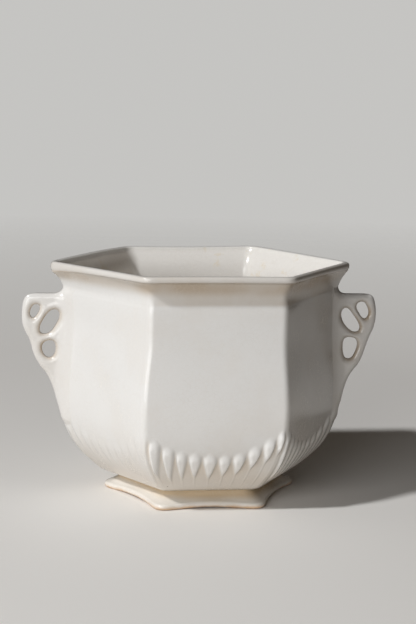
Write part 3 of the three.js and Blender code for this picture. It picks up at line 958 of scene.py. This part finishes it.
def make_handle(name, hand, edge, holes):
    """The plate joined to the bowl. The slip between them is drawn out. The handle gets a warm painted
    shade, and round the holes a tint of stain and painted shade.
    """
    handle, rims = plate_of_clay(name, hand, edge, holes)
    plate_tree = BVHTree.FromObject(handle, bpy.context.evaluated_depsgraph_get())
    skirt = skirt_of_slip(hand)
    handle.select_set(True)
    skirt.select_set(True)
    bpy.context.view_layer.objects.active = handle
    bpy.ops.object.join()
    apply_modifier(handle, "REMESH", mode="VOXEL", voxel_size=clay_grain * MM)
    for _ in range(slip_passes):
        spot = positions(handle)
        off_bowl, bowl_way = stands_out(bowl_tree, spot)
        off_plate, plate_way = stands_out(plate_tree, spot)
        share = np.clip(0.5 + 0.5 * (off_plate - off_bowl) / slip_reach, 0, 1)
        joined = off_plate * (1 - share) + off_bowl * share - slip_reach * share * (1 - share)
        way = plate_way * (1 - share)[:, None] + bowl_way * share[:, None]
        way /= np.maximum(np.sum(way ** 2, axis=1, keepdims=True), least_way)
        joined = np.where(off_bowl < -slip_move, 0, np.clip(joined, -slip_move, slip_move))
        set_positions(handle, spot - way * joined[:, None])
    apply_modifier(handle, "SMOOTH", factor=0.5, iterations=slip_strokes)
    spot = positions(handle)
    off_bowl, bowl_way = stands_out(bowl_tree, spot)
    set_positions(handle, spot - bowl_way * (slip_dip * (1 - eased(off_bowl, 0, slip_feather)))[:, None])

    # Painted shade: a warm tint over the handle, and round each hole a stain with painted shade, stronger
    # on the shaded side of each hole.
    stain = np.full(len(spot), handle_warm_shade)
    for rim in rims[1:]:
        apart, nearest = near_curve(spot, rim)
        outwards = nearest - rim.mean(axis=0)
        outwards /= np.linalg.norm(outwards, axis=1, keepdims=True)
        facing = np.clip(outwards @ np.array([stained_side[0], stained_side[1] * hand]), 0, 1)
        for width, least, more in hole_stain_and_shade:
            stain = np.maximum(stain, np.exp(-(apart / width) ** 2) * (least + more * facing))
    handle.data.attributes.new("stained", "FLOAT", "POINT").data.foreach_set("value", stain)
    bpy.ops.object.select_all(action="DESELECT")
    handle.select_set(True)
    bpy.context.view_layer.objects.active = handle
    bpy.ops.object.shade_smooth()
    handle.data.materials.clear()
    handle.data.materials.append(bowl.data.materials[0])
    return handle


pierced_plates = (("left", -1, left_edge, left_holes), ("right", 1, right_edge, right_holes))
for side_name, hand, edge, holes in pierced_plates:
    handle = make_handle(side_name + "_pierced_handle", hand, edge, holes)
    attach(handle, "root")
    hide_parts("handle_" + side_name)

# Studio
# A pale floor, a key lamp from the left, a weaker fill lamp, and a camera at the photograph's viewpoint.
# The floor and the backdrop look pale, and they throw less light on the vase than such pale ones would.

floor_size = 6.0
floor_colour = (0.88, 0.865, 0.84)
floor_roughness = 0.9
floor_gloss = 0.1
near_bounce = (0.70, 0.65, 0.59)
far_bounce = (0.14, 0.125, 0.11)
bounce_middle = (-0.06, -0.05, 0)
bounce_near = 0.14
bounce_far = 0.34
floor_end_near = 0.35
floor_end_far = 1.4
backdrop_colour = (0.56, 0.555, 0.54)
room_light = (0.048, 0.041, 0.034)
bpy.ops.object.select_all(action="DESELECT")
bpy.ops.mesh.primitive_plane_add(size=floor_size)
floor = bpy.context.object
floor.name = "studio_floor"
floor_paint = bpy.data.materials.new("floor paint")
floor_paint.use_nodes = True
tree = floor_paint.node_tree
matte = tree.nodes["Principled BSDF"]
matte.inputs["Roughness"].default_value = floor_roughness
matte.inputs["Specular IOR Level"].default_value = floor_gloss
paint = Value(tree)
ray = paint.node("LightPath")
shown = paint.maths("MAXIMUM", ray, ray.also(3))
place = paint.node("TexCoord", output=3)
from_bounce = paint.node("VectorMath", {"operation": "DISTANCE"}, 1, in0=place, in1=bounce_middle)
away = paint.node("MapRange", in0=from_bounce, in1=bounce_near, in2=bounce_far)
bounce = paint.node("Mix", {"data_type": "RGBA"}, 2, in0=away, in6=(*near_bounce, 1), in7=(*far_bounce, 1))
seen = paint.node("Mix", {"data_type": "RGBA"}, 2, in0=shown, in6=bounce, in7=(*floor_colour, 1))
tree.links.new(seen.socket, matte.inputs["Base Color"])
distance = paint.node("VectorMath", {"operation": "LENGTH"}, 1, in0=place)
far = paint.node("MapRange", in0=distance, in1=floor_end_near, in2=floor_end_far)
clear = paint.node("BsdfTransparent")
mixed = paint.node("MixShader", in0=far, in1=Value(tree, matte.outputs[0]), in2=clear)
tree.links.new(mixed.socket, tree.nodes["Material Output"].inputs["Surface"])
floor.data.materials.append(floor_paint)

world = bpy.data.worlds.new("studio")
bpy.context.scene.world = world
world.use_nodes = True
tree = world.node_tree
room = Value(tree)
ray = room.node("LightPath")
sky = room.node("Mix", {"data_type": "RGBA"}, 2, in0=ray, in6=(*room_light, 1), in7=(*backdrop_colour, 1))
tree.links.new(sky.socket, tree.nodes["Background"].inputs["Color"])

key_turn = math.radians(204)
key_rise = math.radians(44)
key_softness = math.radians(5)
key_energy = 1.86
key_direction = Vector((
    math.cos(key_turn) * math.cos(key_rise),
    math.sin(key_turn) * math.cos(key_rise),
    math.sin(key_rise),
))
key_lamp = bpy.data.lights.new("key lamp", "SUN")
key_lamp.energy = key_energy
key_lamp.angle = key_softness
key = bpy.data.objects.new("key lamp", key_lamp)
key.rotation_euler = key_direction.to_track_quat("Z", "Y").to_euler()
bpy.context.scene.collection.objects.link(key)

fill_turn = math.radians(237)
fill_height = 0.2
fill_aim = Vector((0, 0, 0.05))
fill_width = 0.8
fill_energy = 6.4
fill_lamp = bpy.data.lights.new("fill lamp", "AREA")
fill_lamp.shape = "DISK"
fill_lamp.size = fill_width
fill_lamp.energy = fill_energy
fill = bpy.data.objects.new("fill lamp", fill_lamp)
fill.location = (math.cos(fill_turn), math.sin(fill_turn), fill_height)
fill.rotation_euler = (fill.location - fill_aim).to_track_quat("Z", "Y").to_euler()
bpy.context.scene.collection.objects.link(fill)

camera_lens = 85
camera_film = 36
camera_distance = 790.06
camera_pitch = 0.168757
camera_turn = 0.134271
camera_roll = 0.021567
aim_across = 2.9214
aim_height = 95.82
side_axis = Vector((math.cos(camera_turn), -math.sin(camera_turn), 0))
back_axis = Vector((
    -math.sin(camera_turn) * math.cos(camera_pitch),
    -math.cos(camera_turn) * math.cos(camera_pitch),
    math.sin(camera_pitch),
))
up_axis = back_axis.cross(side_axis)
aim = side_axis * aim_across + Vector((0, 0, aim_height))
right = side_axis * math.cos(camera_roll) + up_axis * math.sin(camera_roll)
up = up_axis * math.cos(camera_roll) - side_axis * math.sin(camera_roll)
camera_data = bpy.data.cameras.new("camera")
camera_data.lens = camera_lens
camera_data.sensor_width = camera_film
camera = bpy.data.objects.new("camera", camera_data)
place = Matrix((right, up, back_axis)).transposed().to_4x4()
place.translation = (aim + back_axis * camera_distance) * MM
camera.matrix_world = place
bpy.context.scene.collection.objects.link(camera)
bpy.context.scene.camera = camera
